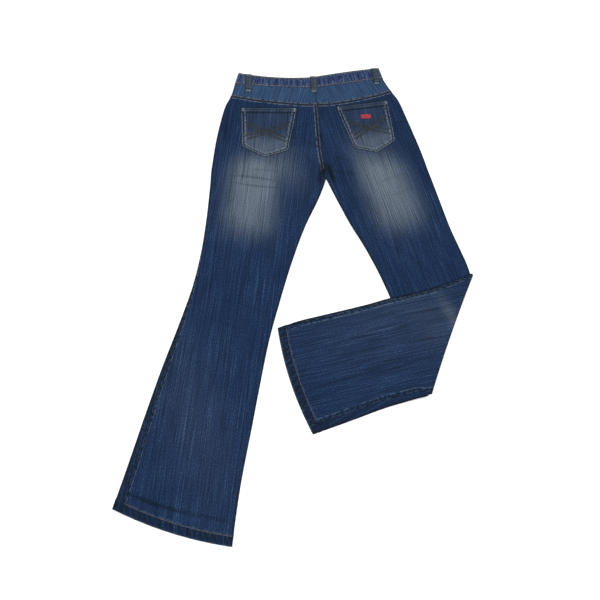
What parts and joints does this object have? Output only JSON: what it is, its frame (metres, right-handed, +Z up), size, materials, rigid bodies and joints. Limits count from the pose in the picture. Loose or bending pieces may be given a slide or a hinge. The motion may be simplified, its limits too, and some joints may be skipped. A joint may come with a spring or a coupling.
{
  "type": "bootcut jeans laid flat",
  "caption": "Bootcut jeans laid flat back side up, with patch pockets, yoke and belt loops, and one leg folded at the knee.",
  "frame": {"origin": "middle of the outline in plan, on the surface that the jeans lie on", "axes": "+Z up off the surface, +Y towards the waist, +X towards the wearer's right side; the back of the jeans faces +Z"},
  "size_m": [0.7735, 1.1434, 0.0125],
  "materials": {
    "denim": "washed indigo denim, faded on the thighs",
    "loop_denim": "worn grey-blue denim",
    "red_tape": "plain red woven tape",
    "cotton_tape": "navy cotton zip tape",
    "brass": "antique brass"
  },
  "bodies": {
    "root": {"front_left": "denim", "front_right": "denim", "back_left": "denim", "back_right": "denim", "yoke_left": "denim", "yoke_right": "denim", "waistband": "denim", "pocket_left": "denim", "pocket_right": "denim", "facing_left": "denim", "facing_right": "denim", "fly_shield": "denim", "belt_loop_left": "loop_denim", "belt_loop_centre": "loop_denim", "belt_loop_right": "loop_denim", "belt_loop_front_left": "loop_denim", "belt_loop_front_right": "loop_denim", "pocket_tab": "red_tape", "zip_tape": "cotton_tape", "zip_slider": "brass", "fly_button": "brass"}
  },
  "joints": []
}
